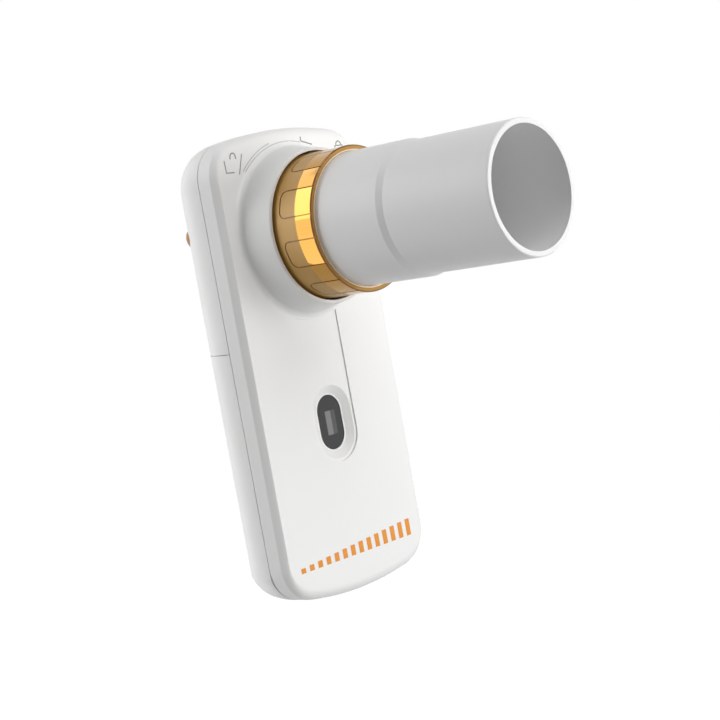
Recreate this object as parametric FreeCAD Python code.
"""Hand-held electronic peak flow meter with a turbine, a mouthpiece and a finger sensor.

Frame, in millimetres: +Z along the body's long axis, -Y out of the front face where the
mouthpiece points, +X to the right seen from the front. The origin is the middle of the body.
"""
import FreeCAD, Part
import math
import os

Vector = FreeCAD.Vector

# Body outline, seen from the front
body_width = 49.0
body_height = 109.2
body_depth = 21.0
corner_radius = 9.0
end_bulge_radius = 95.0

# Front shell
front_wall = 1.8
rim_depth = 1.5
rim_inset_side = 1.4
rim_inset_end = 2.4
rim_curve = ((1.0, 0.0, 0.0), (0.62, 0.3, 0.17), (0.3, 0.6, 0.38), (0.08, 0.86, 0.68), (0.0, 1.0, 1.0))
seam_depth = 5.32
seam_gap = 0.2
tongue_length = 1.4
tongue_wall = 1.0
tongue_clearance = 0.1
tongue_root = 2.0
tongue_step = 0.4

# Rear shell and battery door
rear_wall = 1.6
rear_round = 15.6
rear_round_top = 13.0
rear_round_bottom = 7.0
rear_corner_radius = 4.0
rear_lead_in = 5.0
crease_height = 8.2
door_top_z = 5.7
door_gap = 0.15
door_clearance = 0.25

# Collar round the turbine, its axis at a share of the body's height above the middle
turbine_axis_share = 0.281415
collar_height = 8.3
collar_bore_radius = 17.33
collar_lip = 0.77
collar_taper = 1.3
collar_fillet = 1.6
collar_hollow = 0.12
lip_round = 0.3

# Finger channel and sensor window, also at a share of the height
sensor_share = -0.13553
sensor_half_straight = 2.5
channel_radius = 6.9
channel_depth = 0.35
recess_radius = 6.2
recess_depth = 1.5
window_radius = 4.0
window_lip = 0.35
window_sink = 0.15
window_clearance = 0.08
window_thickness = 1.15
window_flange = 1.2
window_flange_thickness = 0.6
window_boss_wall = 3.6
gasket_thickness = 0.25

# Turbine
ring_front = 19.75
ring_radius = 16.75
ring_chamfer = 0.2
mouth_socket_depth = 12.5
turbine_tube_radius = 14.1
turbine_bore_radius = 12.9
turbine_tail_y = 8.4
turbine_clearance = 0.2
seal_thickness = 0.8
seal_inner_radius = 15.95
seal_clearance = 0.05
lug_height = 1.4
lug_width_deg = 18.0
lug_places_deg = (90, 270)
lug_length = 2.0
lug_y = -4.8
lug_clearance = 0.2
slot_play_deg = 1.0
lock_turn_deg = 90.0
pad_count = 9
pad_angle_deg = 22.8
pad_first_deg = 159.0
pad_length = 9.8
pad_corner = 1.8
pad_line = 0.3
pad_line_depth = 0.2

# Socket that holds the turbine
socket_wall = 1.5
socket_face = 1.5
socket_flange = 3.5
socket_flange_thickness = 1.3
socket_tail_y = 4.6
outlet_gap = 0.05
beam_hole_radius = 1.5
beam_y = -1.2
beam_x = 4.5

# Mouthpiece
mouth_end = 68.1
mouth_radius = 14.75
mouthpiece_root_radius = 15.28
mouthpiece_bore_radius = 13.5
mouthpiece_fit = 0.05
step_y = -48.1
step_length = 1.6
mouth_rim_round = 0.4
seat_chamfer = 0.3

# Swirl vanes and rotor
vane_ring_wall = 0.8
vane_count = 6
vane_thickness = 0.7
vane_twist_deg = 35.0
vane_stations = 5
hub_radius = 2.6
hub_nose = 1.8
front_vane_y = -11.4
rear_vane_y = 2.6
vane_length = 5.0
rotor_radius = 11.8
rotor_length = 5.6
rotor_thickness = 0.5
rotor_hub_radius = 0.9
axle_radius = 0.3
bearing_radius = 0.9
bearing_length = 1.6
bearing_clearance = 0.03
rotor_end_play = 0.2

# Circuit board and what is soldered to it
board_inset = 3.3
board_thickness = 1.0
board_front_y = -5.5
board_hole_clearance = 0.3
board_boss_clearance = 0.2
sensor_width = 3.3
sensor_length = 5.6
sensor_thickness = 1.4
sensor_x = 0.3
emitter_width = 4.0
emitter_height = 1.2
emitter_depth = 5.4
emitter_gap = 0.3
lens_radius = 0.8
radio_size = (12.5, 2.0, 15.0)
radio_above_end = 16.6
processor_size = (9.0, 1.0, 9.0)
processor_x = 6.8
processor_z = 0.5
regulator_size = (3.0, 1.1, 3.0)
regulator_x = -12.0
regulator_z = 1.5
crystal_size = (3.2, 0.8, 1.5)
crystal_x = 2.2
crystal_z = 8.0
chip_part = (1.6, 0.8, 0.8)
chip_part_pitch = 3.0
chip_part_count = 4
chip_part_low_row = 27.6
chip_part_high_row_z = 9.8
chip_part_x = 8.0

# Power button on the left rear flank
button_from_side = 4.9
button_above_axis = 2.37
button_radius = 1.85
button_proud = 0.68
button_dome_foot = 1.9
button_clearance = 0.12
button_flange = 0.6
button_flange_thickness = 0.8
button_stem_radius = 1.3
button_travel = 0.5
button_under_gap = 0.12
button_root = 2.5
button_stem_gap = 0.1
switch_size = 3.0
switch_height = 1.3
switch_plunger_radius = 1.0
switch_plunger_height = 0.4

# Batteries, contacts and the bay that holds them
cell_radius = 5.25
cell_length = 43.3
cell_nub_radius = 1.9
cell_nub_length = 1.2
cell_gap = 0.35
bay_front_y = -1.9
bay_floor = 1.15
bay_wall = 1.2
bay_top_z = 4.2
bay_depth = 7.4
spring_space = 3.2
contact_thickness = 0.3
contact_gap = 0.05
contact_width = 8.0
contact_height = 5.6
spring_wire = 0.35
spring_wire_sides = 8
spring_radius = 2.9
spring_turns = 3.0
bay_side_gap = 0.25

# Door rails and the grip on the door
rail_front_y = -1.5
rail_thickness = 0.9
rail_play = 0.3
rail_from_side = 3.6
rail_length = 40.0
rail_top_z = 2.0
guide_from_side = 5.3
guide_wall = 1.1
guide_lip = 0.9
guide_lip_thickness = 1.0
grip_groove_count = 5
grip_groove_pitch = 2.2
grip_groove_width = 14.0
grip_groove_radius = 0.5
grip_groove_lift = 0.1
grip_top_z = -2.5

# Screws
screw_radius = 1.0
screw_length = 6.0
screw_head_radius = 2.0
screw_head_height = 1.4
screw_hole_clearance = 0.25
screw_pilot_clearance = 0.05
pilot_extra = 0.3
screw_boss_radius = 2.6
screw_above_end = 18.6
screw_high_z = -2.0
board_screw_radius = 0.8
board_screw_length = 2.8
board_screw_head_radius = 1.6
board_screw_head_height = 1.0
board_boss_radius = 2.2
board_screw_from_side = 6.0
board_screw_low_z = 10.5
board_screw_high_from_side = 6.5
board_screw_from_top = 8.6
cross_width = 0.35
cross_reach = 0.6
cross_floor = 0.45

# Places that follow from the sizes above
turbine_axis_z = turbine_axis_share * body_height
sensor_z = sensor_share * body_height
front_y = -body_depth / 2
rear_y = body_depth / 2
seam_y = front_y + seam_depth
round_start_y = rear_y - rear_round
collar_rim_y = front_y - collar_height
collar_rim_radius = collar_bore_radius + collar_lip
collar_root_radius = collar_rim_radius + collar_taper
face_inner_y = front_y + front_wall
ring_front_y = front_y - ring_front
mouth_end_y = front_y - mouth_end
socket_bore_radius = turbine_tube_radius + turbine_clearance
socket_radius = socket_bore_radius + socket_wall
socket_front_y = front_y - socket_face
seal_outer_radius = collar_bore_radius - 2 * seal_clearance
ring_back_y = socket_front_y - seal_thickness - 2 * seal_clearance
mouth_socket_y = ring_front_y + mouth_socket_depth
board_back_y = board_front_y + board_thickness
board_hole_radius = socket_radius + board_hole_clearance
window_lip_y = front_y + recess_depth
boss_back_y = window_lip_y + window_thickness
lug_radius = turbine_tube_radius + lug_height
seam_front_y = seam_y - seam_gap / 2
seam_back_y = seam_y + seam_gap / 2
crease_z = -body_height / 2 + crease_height
plate_front_y = bay_front_y - bay_floor
bay_half_width = 2 * cell_radius + cell_gap / 2 + bay_side_gap
contact_reach = contact_thickness + 2 * contact_gap
bay_bottom_z = bay_top_z - contact_reach - cell_nub_length - cell_length - spring_space
cell_x = cell_radius + cell_gap / 2
cell_y = bay_front_y + cell_radius
axis_point = Vector(0, 0, turbine_axis_z)
radio_z = radio_above_end - body_height / 2
chip_part_row_z = (chip_part_low_row - body_height / 2, chip_part_high_row_z)
button_x = button_from_side - body_width / 2
button_z = turbine_axis_z + button_above_axis
rail_reach_x = body_width / 2 - rail_from_side
guide_x = body_width / 2 - guide_from_side
screw_x = (bay_half_width + bay_wall + guide_x) / 2
screw_z = (screw_above_end - body_height / 2, screw_high_z)
board_screw_low = (body_width / 2 - board_screw_from_side, board_screw_low_z)
board_screw_high = (body_width / 2 - board_screw_high_from_side, body_height / 2 - board_screw_from_top)
overlap = 1.0
weld = 0.2
far = 200.0


def solid_of(shape):
    """The one solid of a boolean result, with its split faces joined."""
    return shape.removeSplitter().Solids[0]


def box(x0, x1, y0, y1, z0, z1):
    return Part.makeBox(x1 - x0, y1 - y0, z1 - z0, Vector(x0, y0, z0))


def rod(radius, y0, y1, x=0.0, z=0.0):
    """A cylinder along Y."""
    return Part.makeCylinder(radius, y1 - y0, Vector(x, y0, z), Vector(0, 1, 0))


def tube(outer, inner, y0, y1, z=turbine_axis_z):
    return rod(outer, y0, y1, z=z).cut(rod(inner, y0 - overlap, y1 + overlap, z=z))


def turned(points):
    """A solid of revolution about the turbine axis, from (radius, y) points in order."""
    wire = Part.makePolygon([Vector(r, y, turbine_axis_z) for r, y in points + points[:1]])
    return Part.Face(wire).revolve(axis_point, Vector(0, 1, 0), 360)


def turned_edges(edges):
    """A solid of revolution about the turbine axis, from lines and arcs in its XY half-plane."""
    wire = Part.Wire([edge.toShape() for edge in edges])
    return Part.Face(wire).revolve(axis_point, Vector(0, 1, 0), 360)


def on_axis_plane(radius, y):
    return Vector(radius, y, turbine_axis_z)


def outline(half_width, top, bottom, radius, y, bulge=end_bulge_radius, crease=None):
    """A closed wire in the plane at y: straight sides, bulged ends and round corners.

    With a crease height the lower corners start there at an angle to the side,
    and still run smoothly into the bulged end.
    """
    def bulge_touch(end):
        along = bulge - radius
        across = half_width - radius
        rise = math.sqrt(along ** 2 - across ** 2)
        centre_z = end - bulge
        touch = Vector(across, 0, rise) * (bulge / along)
        return centre_z, centre_z + rise, touch.x, centre_z + touch.z

    centre_z, corner_z, touch_x, touch_z = bulge_touch(top)
    diagonal = Vector(touch_x - (half_width - radius), 0, touch_z - corner_z).normalize()
    middle = (diagonal + Vector(1, 0, 0)).normalize() * radius
    top_side = Vector(half_width, y, corner_z)
    top_middle = Vector(half_width - radius + middle.x, y, corner_z + middle.z)
    top_touch = Vector(touch_x, y, touch_z)
    low_centre_z, low_corner_z, low_x, low_z = bulge_touch(-bottom)
    if crease is None:
        low_side = Vector(half_width, y, -low_corner_z)
        low_middle = Vector(half_width - radius + middle.x, y, -low_corner_z - middle.z)
    else:
        start = Vector(half_width, 0, crease)
        centre = Vector(0, 0, -low_centre_z)
        reach = Vector(low_x, 0, -low_z) - centre
        reach.normalize()
        gap = start - centre
        shadow = reach.dot(gap)
        corner = (bulge ** 2 + gap.dot(gap) - 2 * bulge * shadow) / (2 * (bulge - shadow))
        corner_centre = centre + reach * (bulge - corner)
        bisector = ((start - corner_centre).normalize() + reach).normalize() * corner
        low_side = Vector(half_width, y, crease)
        low_middle = corner_centre + bisector
        low_middle.y = y
    low_touch = Vector(low_x, y, -low_z)

    def mirrored(point):
        return Vector(-point.x, point.y, point.z)

    edges = [
        Part.Arc(mirrored(top_touch), Vector(0, y, top), top_touch),
        Part.Arc(top_touch, top_middle, top_side),
        Part.LineSegment(top_side, low_side),
        Part.Arc(low_side, low_middle, low_touch),
        Part.Arc(low_touch, Vector(0, y, bottom), mirrored(low_touch)),
        Part.Arc(mirrored(low_touch), mirrored(low_middle), mirrored(low_side)),
        Part.LineSegment(mirrored(low_side), mirrored(top_side)),
        Part.Arc(mirrored(top_side), mirrored(top_middle), mirrored(top_touch)),
    ]
    return Part.Wire([edge.toShape() for edge in edges])


def body_section(inset, y, inset_end=None):
    """The body's outline drawn in by an inset, the same at the ends unless told otherwise."""
    ends = inset if inset_end is None else inset_end
    half_height = body_height / 2 - ends
    return outline(body_width / 2 - inset, half_height, -half_height, corner_radius - inset, y,
                   end_bulge_radius - ends)


def prism(inset, y0, y1):
    return Part.Face(body_section(inset, y0)).extrude(Vector(0, y1 - y0, 0))


def pillow(inset):
    """The rounded rear half of the body, drawn in by an inset, from ahead of the seam to the back."""
    round_side = rear_round - inset
    round_top = rear_round_top - inset
    round_bottom = rear_round_bottom - inset
    start_corner = corner_radius - inset
    sections = []
    starts = [(0, round_start_y - rear_lead_in)]
    starts += [(angle, round_start_y) for angle in (0, 12, 24, 36, 48, 60, 70, 80, 90)]
    for angle, y_start in starts:
        turn = math.radians(angle)
        share = 1 - math.cos(turn)
        sections.append(outline(
            body_width / 2 - inset - round_side * share,
            body_height / 2 - inset - round_top * share,
            -body_height / 2 + inset + round_bottom * share,
            start_corner + (rear_corner_radius - start_corner) * share,
            y_start + round_side * math.sin(turn),
            end_bulge_radius - inset,
            crease_z + inset,
        ))
    return Part.makeLoft(sections, True, False)


def stadium(radius, half_straight, x, y, z):
    """A closed wire with round ends up and down, in the plane at y."""
    up = z + half_straight
    down = z - half_straight
    edges = [
        Part.Arc(Vector(x + radius, y, up), Vector(x, y, up + radius), Vector(x - radius, y, up)),
        Part.LineSegment(Vector(x - radius, y, up), Vector(x - radius, y, down)),
        Part.Arc(Vector(x - radius, y, down), Vector(x, y, down - radius), Vector(x + radius, y, down)),
        Part.LineSegment(Vector(x + radius, y, down), Vector(x + radius, y, up)),
    ]
    return Part.Wire([edge.toShape() for edge in edges])


def stadium_rod(radius, y0, y1, half_straight=sensor_half_straight, x=0.0, z=sensor_z):
    return Part.Face(stadium(radius, half_straight, x, y0, z)).extrude(Vector(0, y1 - y0, 0))


def ring_sector(outer, inner, y0, y1, start_deg, end_deg):
    """Part of a ring about the turbine axis, between two angles counted from +X towards +Z."""
    wedge = Part.makeCylinder(outer, y1 - y0, Vector(0, y0, turbine_axis_z), Vector(0, 1, 0),
                              end_deg - start_deg)
    start = wedge.CenterOfMass - Vector(0, (y0 + y1) / 2, turbine_axis_z)
    turn_now = math.degrees(math.atan2(start.z, start.x))
    wedge.rotate(axis_point, Vector(0, 1, 0), turn_now - (start_deg + end_deg) / 2)
    return wedge.cut(rod(inner, y0 - overlap, y1 + overlap, z=turbine_axis_z))


def screw_places():
    return [(side * screw_x, z) for side in (-1, 1) for z in screw_z]


def board_screw_places():
    return [(side * x, z) for side in (-1, 1) for x, z in (board_screw_low, board_screw_high)]


def make_front_shell():
    """The front cover: face with a soft rim, collar, finger channel, sensor recess and screw bosses."""
    rim = [body_section(side * rim_inset_side, front_y + depth * rim_depth, end * rim_inset_end)
           for depth, side, end in rim_curve]
    shell = Part.makeLoft(rim, True, False).fuse(prism(0.0, front_y + rim_depth, seam_front_y))
    shell = shell.cut(prism(front_wall, face_inner_y, seam_y + overlap))
    boss = stadium_rod(window_radius + window_boss_wall, face_inner_y - weld, boss_back_y)
    shell = shell.fuse(boss)
    for x, z in screw_places():
        shell = shell.fuse(rod(screw_boss_radius, face_inner_y - weld, plate_front_y - door_gap, x, z))
    for x, z in board_screw_places():
        shell = shell.fuse(rod(board_boss_radius, face_inner_y - weld, board_front_y, x, z))
    channel_top = turbine_axis_z - collar_root_radius
    channel = stadium_rod(channel_radius, front_y - overlap, front_y + channel_depth).fuse(
        box(-channel_radius, channel_radius, front_y - overlap, front_y + channel_depth,
            sensor_z, channel_top))
    shell = shell.cut(channel)
    inside = on_axis_plane(collar_bore_radius - overlap, face_inner_y)
    inside_rim = on_axis_plane(collar_bore_radius - overlap, collar_rim_y)
    lip_edge = on_axis_plane(collar_rim_radius - lip_round, collar_rim_y)
    lip_side = on_axis_plane(collar_rim_radius, collar_rim_y + lip_round)
    root = on_axis_plane(collar_root_radius, front_y - collar_fillet)
    flank_middle = (lip_side + root) / 2 - Vector(collar_hollow, 0, 0)
    foot = on_axis_plane(collar_root_radius + collar_fillet, front_y)
    quarter = 1 - math.sqrt(0.5)
    fillet_middle = root + Vector(quarter * collar_fillet, (1 - quarter) * collar_fillet, 0)
    lip_middle = lip_edge + Vector((1 - quarter) * lip_round, quarter * lip_round, 0)
    foot_inside = on_axis_plane(collar_root_radius + collar_fillet, face_inner_y)
    collar = turned_edges([
        Part.LineSegment(inside, inside_rim),
        Part.LineSegment(inside_rim, lip_edge),
        Part.Arc(lip_edge, lip_middle, lip_side),
        Part.Arc(lip_side, flank_middle, root),
        Part.Arc(root, fillet_middle, foot),
        Part.LineSegment(foot, foot_inside),
        Part.LineSegment(foot_inside, inside),
    ])
    shell = shell.fuse(collar)
    shell = shell.cut(rod(collar_bore_radius, collar_rim_y - overlap, face_inner_y + overlap,
                          z=turbine_axis_z))
    recess = Part.makeLoft([
        stadium(recess_radius, sensor_half_straight, 0, front_y + channel_depth, sensor_z),
        stadium(window_radius + window_lip, sensor_half_straight, 0, window_lip_y, sensor_z),
    ], True, True)
    recess = recess.fuse(stadium_rod(recess_radius, front_y - overlap, front_y + channel_depth))
    shell = shell.cut(recess)
    shell = shell.cut(stadium_rod(window_radius, front_y - overlap, seam_y))
    for x, z in screw_places():
        shell = shell.cut(rod(screw_radius + screw_pilot_clearance, bay_front_y - screw_length - pilot_extra,
                              seam_y + far, x, z))
    for x, z in board_screw_places():
        shell = shell.cut(rod(board_screw_radius + screw_pilot_clearance,
                              board_back_y - board_screw_length - pilot_extra, seam_y, x, z))
    return solid_of(shell)


def make_rear_shell():
    """The rear cover: rounded upper half with the air outlet, and the battery tray below it."""
    upper_z = door_top_z + door_gap
    upper = pillow(0.0).cut(pillow(rear_wall))
    shell = upper.common(box(-far, far, seam_back_y, far, upper_z, far))
    tongue_back = seam_y + tongue_root
    tongue_inner = front_wall + tongue_clearance + tongue_wall
    root = prism(front_wall - tongue_step, seam_back_y, tongue_back)
    tip = prism(front_wall + tongue_clearance, seam_y - tongue_length, seam_back_y + weld)
    hollow = prism(tongue_inner, seam_y - tongue_length - overlap, tongue_back + overlap)
    tongue = root.fuse(tip).cut(hollow).common(box(-far, far, -far, far, upper_z, far))
    shell = shell.fuse(tongue)
    bridge = box(-far, far, plate_front_y, far, upper_z, upper_z + bay_wall)
    shell = shell.fuse(pillow(rear_wall / 2).common(bridge))

    inside = pillow(rear_wall + door_clearance)
    plate = box(-far, far, plate_front_y, bay_front_y, -far, upper_z + bay_wall / 2)
    head = box(-far, far, plate_front_y, far, bay_top_z, upper_z + bay_wall / 2)
    outer_x = bay_half_width + bay_wall
    bay = box(-outer_x, outer_x, bay_front_y - weld, bay_depth, bay_bottom_z - bay_wall, bay_top_z + weld)
    bay = bay.cut(box(-bay_half_width, bay_half_width, bay_front_y - overlap, far, bay_bottom_z,
                      bay_top_z + overlap))
    tray = plate.fuse(head).fuse(bay)
    for side in (-1, 1):
        wall_x = sorted((side * guide_x, side * (guide_x + guide_wall)))
        lip_x = sorted((side * guide_x, side * (guide_x + guide_wall + guide_lip)))
        lip_y = rail_front_y + rail_thickness + rail_play
        lip_back_y = lip_y + guide_lip_thickness
        tray = tray.fuse(box(wall_x[0], wall_x[1], bay_front_y - weld, lip_back_y, -far, bay_top_z + weld))
        tray = tray.fuse(box(lip_x[0], lip_x[1], lip_y, lip_back_y, -far, bay_top_z + weld))
    shell = shell.fuse(tray.common(inside))

    outlet = tube(socket_radius, socket_bore_radius, socket_tail_y + outlet_gap, far)
    shell = shell.fuse(outlet.common(pillow(0.0)))
    shell = shell.cut(rod(socket_bore_radius, socket_tail_y, far, z=turbine_axis_z))
    shell = shell.cut(rod(button_radius + button_clearance, seam_y + button_root, far, button_x, button_z))
    for x, z in screw_places():
        shell = shell.cut(rod(screw_radius + screw_hole_clearance, -far, far, x, z))
    return solid_of(shell)


def make_battery_door():
    """The lower rear cover that slides down off the batteries, with rails inside and grip grooves."""
    door = pillow(0.0).cut(pillow(rear_wall))
    rails = pillow(rear_wall / 2)
    rail_y = (rail_front_y, rail_front_y + rail_thickness)
    low_z = rail_top_z - rail_length
    strips = box(rail_reach_x, far, rail_y[0], rail_y[1], low_z, rail_top_z).fuse(
        box(-far, -rail_reach_x, rail_y[0], rail_y[1], low_z, rail_top_z))
    door = door.fuse(strips.common(rails))
    door = door.common(box(-far, far, seam_back_y, far, -far, door_top_z))
    for index in range(grip_groove_count):
        z = grip_top_z - index * grip_groove_pitch
        start = Vector(-grip_groove_width / 2, rear_y + grip_groove_lift, z)
        door = door.cut(Part.makeCylinder(grip_groove_radius, grip_groove_width, start, Vector(1, 0, 0)))
    return solid_of(door)


def make_turbine_socket():
    """The sleeve inside the body that guides and locks the turbine, with windows for the beams."""
    socket = turned([
        (socket_bore_radius, socket_front_y),
        (collar_bore_radius - seal_clearance, socket_front_y),
        (collar_bore_radius - seal_clearance, face_inner_y),
        (socket_radius + socket_flange, face_inner_y),
        (socket_radius + socket_flange, face_inner_y + socket_flange_thickness),
        (socket_radius, face_inner_y + socket_flange_thickness),
        (socket_radius, socket_tail_y),
        (socket_bore_radius, socket_tail_y),
    ])
    slot_radius = lug_radius + lug_clearance
    half_deg = lug_width_deg / 2 + slot_play_deg
    slot_back = lug_y + lug_length / 2 + lug_clearance
    slot_front = lug_y - lug_length / 2 - lug_clearance
    for centre in lug_places_deg:
        inner = socket_bore_radius - overlap
        entry = ring_sector(slot_radius, inner, socket_front_y - overlap, slot_back, centre - half_deg,
                            centre + half_deg)
        track = ring_sector(slot_radius, inner, slot_front, slot_back, centre - lock_turn_deg - half_deg,
                            centre + half_deg)
        socket = socket.cut(entry).cut(track)
    for x in (-beam_x, beam_x):
        socket = socket.cut(Part.makeCylinder(beam_hole_radius, 2 * far,
                                              Vector(x, beam_y, turbine_axis_z - far)))
    return solid_of(socket)


def make_turbine_seal():
    """The flat rubber ring between the turbine's flange and the socket."""
    return tube(seal_outer_radius, seal_inner_radius, socket_front_y - seal_clearance - seal_thickness,
                socket_front_y - seal_clearance)


def pad_outline(centre_deg):
    """The engraved line round one grip pad: a U open at the ring's front edge."""
    half = pad_angle_deg / 2
    line_deg = math.degrees(pad_line / ring_radius)
    corner_deg = math.degrees(pad_corner / ring_radius)
    back = ring_front_y + pad_length
    outer = ring_radius + overlap
    inner = ring_radius - pad_line_depth
    cut = ring_sector(outer, inner, ring_front_y - overlap, back - pad_corner, centre_deg - half,
                      centre_deg - half + line_deg)
    cut = cut.fuse(ring_sector(outer, inner, ring_front_y - overlap, back - pad_corner,
                               centre_deg + half - line_deg, centre_deg + half))
    cut = cut.fuse(ring_sector(outer, inner, back - pad_line, back, centre_deg - half + corner_deg,
                               centre_deg + half - corner_deg))
    along = math.radians(centre_deg)
    for side in (-1, 1):
        at = along + side * math.radians(half - corner_deg)
        middle = Vector(math.cos(at) * (ring_radius - pad_line_depth), back - pad_corner,
                        turbine_axis_z + math.sin(at) * (ring_radius - pad_line_depth))
        out = Vector(math.cos(at), 0, math.sin(at))
        quarter = Part.makeCylinder(pad_corner, overlap, middle, out).cut(
            Part.makeCylinder(pad_corner - pad_line, overlap, middle, out))
        keep = ring_sector(outer + overlap, inner - overlap, back - pad_corner, back + overlap,
                           *sorted((math.degrees(at), math.degrees(at) + side * 2 * corner_deg)))
        cut = cut.fuse(quarter.common(keep))
    return cut


def make_turbine_housing():
    """The amber tube: grip ring with engraved pads, socket for the mouthpiece, lugs and bore."""
    socket_radius_in = mouthpiece_root_radius + mouthpiece_fit
    housing = turned([
        (turbine_bore_radius, mouth_socket_y),
        (socket_radius_in, mouth_socket_y),
        (socket_radius_in, ring_front_y + ring_chamfer),
        (socket_radius_in + ring_chamfer, ring_front_y),
        (ring_radius - ring_chamfer, ring_front_y),
        (ring_radius, ring_front_y + ring_chamfer),
        (ring_radius, ring_back_y),
        (turbine_tube_radius, ring_back_y),
        (turbine_tube_radius, turbine_tail_y),
        (turbine_bore_radius, turbine_tail_y),
    ])
    for centre in lug_places_deg:
        housing = housing.fuse(ring_sector(lug_radius, turbine_tube_radius - weld, lug_y - lug_length / 2,
                                           lug_y + lug_length / 2, centre - lug_width_deg / 2,
                                           centre + lug_width_deg / 2))
    for index in range(pad_count):
        housing = housing.cut(pad_outline(pad_first_deg + index * 360 / pad_count))
    return solid_of(housing)


def make_swirl_vanes(y0, hand, bearing_side):
    """A fixed set of twisted vanes in a ring, with a hub that holds one end of the axle."""
    y1 = y0 + vane_length
    outer = turbine_bore_radius
    body = tube(outer, outer - vane_ring_wall, y0, y1)
    body = body.fuse(rod(hub_radius, y0, y1, z=turbine_axis_z))
    nose_root, direction = (y0, -1) if bearing_side > 0 else (y1, 1)
    curve = [(hub_radius * math.cos(math.radians(angle)),
              nose_root + direction * hub_nose * math.sin(math.radians(angle))) for angle in (0, 30, 60)]
    body = body.fuse(turned([(0, nose_root)] + curve + [(0, nose_root + direction * hub_nose)]))
    half = vane_thickness / 2
    inner_r = hub_radius - weld
    outer_r = outer - vane_ring_wall + weld
    for blade in range(vane_count):
        sections = []
        for station in range(vane_stations):
            share = station / (vane_stations - 1)
            corners = [(inner_r, -half), (outer_r, -half), (outer_r, half), (inner_r, half)]
            points = [Vector(x, y0 + share * vane_length, turbine_axis_z + z) for x, z in corners]
            section = Part.makePolygon(points + points[:1])
            turn = 360 * blade / vane_count + hand * vane_twist_deg * share
            section.rotate(axis_point, Vector(0, 1, 0), turn)
            sections.append(section)
        body = body.fuse(Part.makeLoft(sections, True, False))
    seat_y = y1 - bearing_length if bearing_side > 0 else y0 - overlap
    body = body.cut(rod(bearing_radius, seat_y, seat_y + bearing_length + overlap, z=turbine_axis_z))
    return solid_of(body)


def make_bearing(y0):
    return tube(bearing_radius, axle_radius + bearing_clearance, y0, y0 + bearing_length)


def make_rotor():
    """The flat rotor blade and its axle."""
    y0 = front_vane_y + vane_length
    y1 = rear_vane_y
    middle = (y0 + y1) / 2
    blade = box(-rotor_thickness / 2, rotor_thickness / 2, middle - rotor_length / 2,
                middle + rotor_length / 2, turbine_axis_z - rotor_radius, turbine_axis_z + rotor_radius)
    blade = blade.fuse(rod(rotor_hub_radius, middle - rotor_length / 2, middle + rotor_length / 2,
                           z=turbine_axis_z))
    blade = blade.cut(rod(axle_radius, y0 - overlap, y1 + overlap, z=turbine_axis_z))
    axle = rod(axle_radius, y0 - bearing_length + rotor_end_play, y1 + bearing_length - rotor_end_play,
               z=turbine_axis_z)
    return solid_of(blade), axle


def make_mouthpiece():
    """The plastic tube that the user blows into, a little thicker where it seats in the turbine."""
    seat_y = mouth_socket_y - mouthpiece_fit
    corners = [
        (mouth_radius - mouth_rim_round, mouth_end_y),
        (mouthpiece_bore_radius, mouth_end_y),
        (mouthpiece_bore_radius, seat_y),
        (mouthpiece_root_radius - seat_chamfer, seat_y),
        (mouthpiece_root_radius, seat_y - 2 * seat_chamfer),
        (mouthpiece_root_radius, step_y),
        (mouth_radius, step_y - step_length),
        (mouth_radius, mouth_end_y + mouth_rim_round),
    ]
    points = [on_axis_plane(radius, y) for radius, y in corners]
    from_corner = (1 - math.sqrt(0.5)) * mouth_rim_round
    rim_middle = on_axis_plane(mouth_radius - from_corner, mouth_end_y + from_corner)
    edges = [Part.LineSegment(start, end) for start, end in zip(points, points[1:])]
    return turned_edges(edges + [Part.Arc(points[-1], rim_middle, points[0])])


def make_board():
    """The circuit board, round the turbine socket at the top and full width below."""
    board = Part.Face(body_section(board_inset, board_front_y)).extrude(Vector(0, board_thickness, 0))
    board = board.cut(rod(board_hole_radius, board_front_y - overlap, board_back_y + overlap,
                          z=turbine_axis_z))
    for x, z in screw_places():
        board = board.cut(rod(screw_boss_radius + board_boss_clearance, board_front_y - overlap,
                              board_back_y + overlap, x, z))
    for x, z in board_screw_places():
        board = board.cut(rod(board_screw_radius + screw_hole_clearance, board_front_y - overlap,
                              board_back_y + overlap, x, z))
    return solid_of(board)


def side_looker(x, side):
    """One infrared part that stands on the board and looks at the turbine from below or above."""
    reach = socket_radius + emitter_gap
    inner_z = turbine_axis_z + side * max(reach, board_hole_radius + lens_radius)
    outer_z = inner_z + side * emitter_height
    low, high = sorted((inner_z, outer_z))
    block = box(x - emitter_width / 2, x + emitter_width / 2, board_back_y,
                board_back_y + emitter_depth, low, high)
    lens = Part.makeSphere(lens_radius, Vector(x, beam_y, inner_z))
    return solid_of(block.fuse(lens))


def chip(size, x, z, front=True):
    """A flat component on the front or back of the board."""
    width, height, length = size
    y0 = board_front_y - height if front else board_back_y
    return box(x - width / 2, x + width / 2, y0, y0 + height, z - length / 2, z + length / 2)


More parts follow.
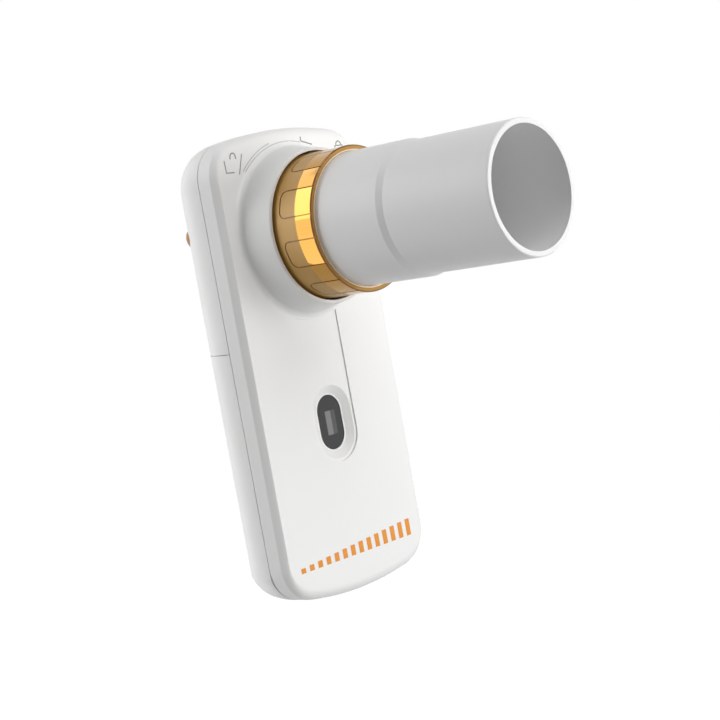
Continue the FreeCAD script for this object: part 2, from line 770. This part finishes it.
def make_button():
    """The power button: a cap domed over the flank, a flange under the shell and a stem."""
    flank_normal = Vector(button_x + body_width / 2 - rear_round, 0, 0) / rear_round
    flank_normal.y = math.sqrt(1 - flank_normal.x ** 2)
    on_flank = Vector(button_x, round_start_y + rear_round * flank_normal.y, button_z)
    dome_radius = (button_dome_foot ** 2 + button_proud ** 2) / (2 * button_proud)
    dome = Part.makeSphere(dome_radius, on_flank + flank_normal * (button_proud - dome_radius))
    raised = pillow(0.0).fuse(dome)
    inner = pillow(rear_wall + button_under_gap)
    below = pillow(rear_wall + button_under_gap + button_flange_thickness)
    start = seam_y + button_root

    cap = rod(button_radius, start, far, button_x, button_z).common(raised).cut(below)
    flange = rod(button_radius + button_flange, start, far, button_x, button_z).common(inner).cut(below)
    stem_end = board_back_y + switch_height + switch_plunger_height + button_travel + button_stem_gap
    stem = rod(button_stem_radius, stem_end, rear_y, button_x, button_z).common(inner)
    return solid_of(cap.fuse(flange).fuse(stem))


def make_switch():
    half = switch_size / 2
    body = box(button_x - half, button_x + half, board_back_y, board_back_y + switch_height,
               button_z - half, button_z + half)
    plunger = rod(switch_plunger_radius, board_back_y + switch_height - weld,
                  board_back_y + switch_height + switch_plunger_height, button_x, button_z)
    return solid_of(body.fuse(plunger))


def make_cell(side, nub_up):
    """One small round cell whose nub meets its contact plate, at the top or the bottom of the bay."""
    if nub_up:
        body_z = bay_top_z - contact_reach - cell_nub_length - cell_length
        nub_z = body_z + cell_length - weld
    else:
        body_z = bay_bottom_z + contact_reach + cell_nub_length
        nub_z = body_z - cell_nub_length
    body = Part.makeCylinder(cell_radius, cell_length, Vector(side * cell_x, cell_y, body_z))
    nub = Part.makeCylinder(cell_nub_radius, cell_nub_length + weld, Vector(side * cell_x, cell_y, nub_z))
    return solid_of(body.fuse(nub))


def make_spring(side, at_top):
    """A contact spring of fine wire between a cell's flat end and its contact plate."""
    height = spring_space - contact_reach - contact_gap - spring_wire
    z0 = bay_bottom_z + contact_reach + spring_wire / 2
    if at_top:
        z0 = bay_top_z - contact_reach - spring_wire / 2 - height
    path = Part.makeHelix(height / spring_turns, height, spring_radius)
    path.translate(Vector(side * cell_x, cell_y, z0))
    start = path.Vertexes[0].Point
    corners = []
    for index in range(spring_wire_sides + 1):
        turn = 2 * math.pi * index / spring_wire_sides
        corners.append(start + Vector(math.cos(turn), 0, math.sin(turn)) * (spring_wire / 2))
    return Part.Wire(path).makePipeShell([Part.makePolygon(corners)], True, True)


def make_contacts():
    """Three plated contact plates: one for each cell at the top and one bridge at the bottom."""
    y0 = cell_y - contact_height / 2
    y1 = y0 + contact_height
    plates = []
    for side in (-1, 1):
        x0, x1 = sorted((side * (cell_x - contact_width / 2), side * (cell_x + contact_width / 2)))
        plates.append(box(x0, x1, y0, y1, bay_top_z - contact_gap - contact_thickness,
                          bay_top_z - contact_gap))
    reach = cell_x + contact_width / 2
    plates.append(box(-reach, reach, y0, y1, bay_bottom_z + contact_gap,
                      bay_bottom_z + contact_gap + contact_thickness))
    return plates


def make_screw(radius, length, head_radius, head_height, head_y, x, z):
    """A pan head screw driven from the back, with a cross recess."""
    body = rod(radius, head_y - length, head_y + weld, x, z)
    body = body.fuse(rod(head_radius, head_y, head_y + head_height, x, z))
    reach = cross_reach * head_radius
    floor = head_y + cross_floor * head_height
    for half_x, half_z in ((reach, cross_width / 2), (cross_width / 2, reach)):
        body = body.cut(box(x - half_x, x + half_x, floor, head_y + overlap + head_height,
                            z - half_z, z + half_z))
    return solid_of(body)


def build():
    """Every piece by its node name."""
    blade, axle = make_rotor()
    flange_front = boss_back_y + gasket_thickness
    window = stadium_rod(window_radius - window_clearance, window_lip_y + window_sink, flange_front + weld)
    window = window.fuse(stadium_rod(window_radius + window_flange, flange_front,
                                     flange_front + window_flange_thickness))
    gasket = stadium_rod(window_radius + window_flange, boss_back_y, flange_front).cut(
        stadium_rod(window_radius, boss_back_y - overlap, boss_back_y + overlap))
    sensor = box(sensor_x - sensor_width / 2, sensor_x + sensor_width / 2, board_front_y - sensor_thickness,
                 board_front_y, sensor_z - sensor_length / 2, sensor_z + sensor_length / 2)
    capacitors = [chip(chip_part, side * (chip_part_x + index * chip_part_pitch - chip_part_pitch), z)
                  for side in (-1, 1) for z in chip_part_row_z for index in range(chip_part_count)]
    return {
        "front_shell": [make_front_shell()],
        "rear_shell": [make_rear_shell()],
        "battery_door": [make_battery_door()],
        "turbine_socket": [make_turbine_socket()],
        "turbine_seal": [make_turbine_seal()],
        "turbine_housing": [make_turbine_housing()],
        "front_swirl_vanes": [make_swirl_vanes(front_vane_y, 1, 1)],
        "rear_swirl_vanes": [make_swirl_vanes(rear_vane_y, -1, -1)],
        "front_bearing": [make_bearing(front_vane_y + vane_length - bearing_length)],
        "rear_bearing": [make_bearing(rear_vane_y)],
        "rotor_blade": [blade],
        "rotor_axle": [axle],
        "mouthpiece": [make_mouthpiece()],
        "main_board": [make_board()],
        "infrared_emitters": [side_looker(x, -1) for x in (-beam_x, beam_x)],
        "infrared_detectors": [side_looker(x, 1) for x in (-beam_x, beam_x)],
        "finger_sensor": [sensor],
        "sensor_window": [solid_of(window)],
        "window_gasket": [gasket],
        "radio_module": [chip(radio_size, 0.0, radio_z)],
        "processor_chip": [chip(processor_size, processor_x, processor_z)],
        "voltage_regulator": [chip(regulator_size, regulator_x, regulator_z)],
        "clock_crystal": [chip(crystal_size, crystal_x, crystal_z)],
        "board_capacitors": capacitors,
        "power_button": [make_button()],
        "button_switch": [make_switch()],
        "left_battery": [make_cell(-1, True)],
        "right_battery": [make_cell(1, False)],
        "battery_springs": [make_spring(-1, False), make_spring(1, True)],
        "battery_contacts": make_contacts(),
        "shell_screws": [make_screw(screw_radius, screw_length, screw_head_radius, screw_head_height,
                                    bay_front_y, x, z) for x, z in screw_places()],
        "board_screws": [make_screw(board_screw_radius, board_screw_length, board_screw_head_radius,
                                    board_screw_head_height, board_back_y, x, z)
                         for x, z in board_screw_places()],
    }


os.makedirs("parts", exist_ok=True)
for name, solids in build().items():
    shape = solids[0] if len(solids) == 1 else Part.makeCompound(solids)
    shape.exportStep("parts/" + name + ".step")
    print(f"{name:20s} solids {len(shape.Solids)} valid {shape.isValid()} volume {shape.Volume:9.1f}")
